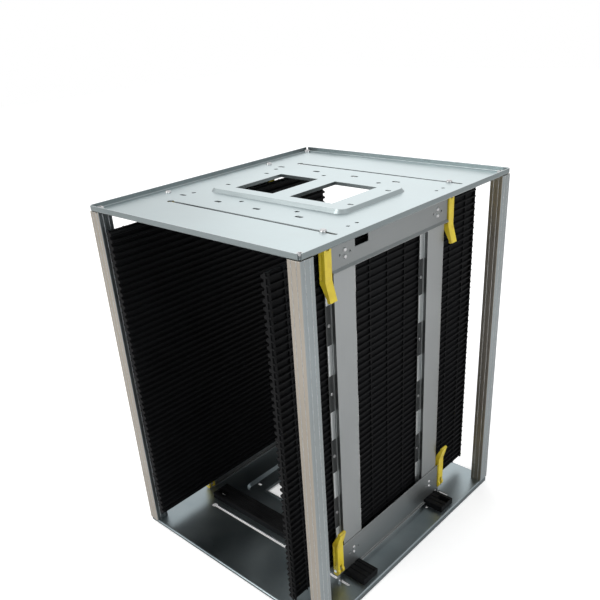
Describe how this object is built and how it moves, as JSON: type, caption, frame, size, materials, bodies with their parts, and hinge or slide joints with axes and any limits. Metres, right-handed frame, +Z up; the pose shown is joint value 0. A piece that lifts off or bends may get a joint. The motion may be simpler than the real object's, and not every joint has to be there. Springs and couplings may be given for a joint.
{
  "type": "circuit board magazine rack",
  "caption": "Open standing rack with two folded plates on corner posts, a fixed and a sliding wall of slotted black panels, and cam levers that clamp each wall.",
  "frame": {"origin": "on the floor under the middle of the rack", "axes": "+Z up, +Y to the back, along the way boards slide in and out, +X to the right seen from the open front, from the fixed wall to the moving wall"},
  "size_m": [0.4, 0.46, 0.563],
  "materials": {
    "zinc_sheet": "bright zinc-plated folded sheet",
    "post_aluminium": "clear anodised extrusion",
    "wall_steel": "satin plated steel, brushed lengthwise",
    "screw_zinc": "bright zinc plate",
    "panel_plastic": "black conductive moulded plastic",
    "bar_plastic": "black machined plastic",
    "lever_paint": "yellow moulded plastic, semi-gloss"
  },
  "bodies": {
    "frame": {"base_plate": "zinc_sheet", "top_plate": "zinc_sheet", "front_left_post": "post_aluminium", "front_right_post": "post_aluminium", "rear_left_post": "post_aluminium", "rear_right_post": "post_aluminium", "post_screws": "screw_zinc", "front_guide_bar": "bar_plastic", "rear_guide_bar": "bar_plastic", "guide_bar_screws": "screw_zinc", "fixed_wall_top_rail": "wall_steel", "fixed_wall_bottom_rail": "wall_steel", "fixed_wall_front_upright": "wall_steel", "fixed_wall_rear_upright": "wall_steel", "fixed_wall_panel_1": "panel_plastic", "fixed_wall_panel_2": "panel_plastic", "fixed_wall_panel_3": "panel_plastic", "fixed_wall_panel_4": "panel_plastic", "fixed_wall_panel_5": "panel_plastic", "fixed_wall_panel_screws": "screw_zinc", "fixed_wall_rail_screws": "screw_zinc", "fixed_wall_clamp_studs": "screw_zinc", "fixed_wall_lever_pins": "screw_zinc"},
    "moving_wall": {"moving_wall_top_rail": "wall_steel", "moving_wall_bottom_rail": "wall_steel", "moving_wall_front_upright": "wall_steel", "moving_wall_rear_upright": "wall_steel", "moving_wall_panel_1": "panel_plastic", "moving_wall_panel_2": "panel_plastic", "moving_wall_panel_3": "panel_plastic", "moving_wall_panel_4": "panel_plastic", "moving_wall_panel_5": "panel_plastic", "moving_wall_panel_screws": "screw_zinc", "moving_wall_rail_screws": "screw_zinc", "moving_wall_clamp_studs": "screw_zinc", "moving_wall_lever_pins": "screw_zinc"},
    "fixed_lever_front_top": {"fixed_lever_front_top": "lever_paint"},
    "fixed_lever_front_bottom": {"fixed_lever_front_bottom": "lever_paint"},
    "fixed_lever_rear_top": {"fixed_lever_rear_top": "lever_paint"},
    "fixed_lever_rear_bottom": {"fixed_lever_rear_bottom": "lever_paint"},
    "moving_lever_front_top": {"moving_lever_front_top": "lever_paint"},
    "moving_lever_front_bottom": {"moving_lever_front_bottom": "lever_paint"},
    "moving_lever_rear_top": {"moving_lever_rear_top": "lever_paint"},
    "moving_lever_rear_bottom": {"moving_lever_rear_bottom": "lever_paint"}
  },
  "joints": [
    {"name": "moving_wall_slide", "type": "slide", "parent": "frame", "child": "moving_wall", "axis": [1, 0, 0], "range_m": [-0.245, 0.018]},
    {"name": "fixed_lever_front_top_swing", "type": "hinge", "parent": "frame", "child": "fixed_lever_front_top", "pos_m": [-0.1778, -0.108, 0.5445], "axis": [0, 1, 0], "range_deg": [0, 80]},
    {"name": "fixed_lever_front_bottom_swing", "type": "hinge", "parent": "frame", "child": "fixed_lever_front_bottom", "pos_m": [-0.1778, -0.108, 0.0185], "axis": [0, -1, 0], "range_deg": [0, 80]},
    {"name": "fixed_lever_rear_top_swing", "type": "hinge", "parent": "frame", "child": "fixed_lever_rear_top", "pos_m": [-0.1778, 0.108, 0.5445], "axis": [0, 1, 0], "range_deg": [0, 80]},
    {"name": "fixed_lever_rear_bottom_swing", "type": "hinge", "parent": "frame", "child": "fixed_lever_rear_bottom", "pos_m": [-0.1778, 0.108, 0.0185], "axis": [0, -1, 0], "range_deg": [0, 80]},
    {"name": "moving_lever_front_top_swing", "type": "hinge", "parent": "moving_wall", "child": "moving_lever_front_top", "pos_m": [0.1533, -0.138, 0.5444], "axis": [0, -1, 0], "range_deg": [0, 80]},
    {"name": "moving_lever_front_bottom_swing", "type": "hinge", "parent": "moving_wall", "child": "moving_lever_front_bottom", "pos_m": [0.1533, -0.138, 0.0296], "axis": [0, 1, 0], "range_deg": [0, 80]},
    {"name": "moving_lever_rear_top_swing", "type": "hinge", "parent": "moving_wall", "child": "moving_lever_rear_top", "pos_m": [0.1533, 0.138, 0.5444], "axis": [0, -1, 0], "range_deg": [0, 80]},
    {"name": "moving_lever_rear_bottom_swing", "type": "hinge", "parent": "moving_wall", "child": "moving_lever_rear_bottom", "pos_m": [0.1533, 0.138, 0.0296], "axis": [0, 1, 0], "range_deg": [0, 80]}
  ]
}
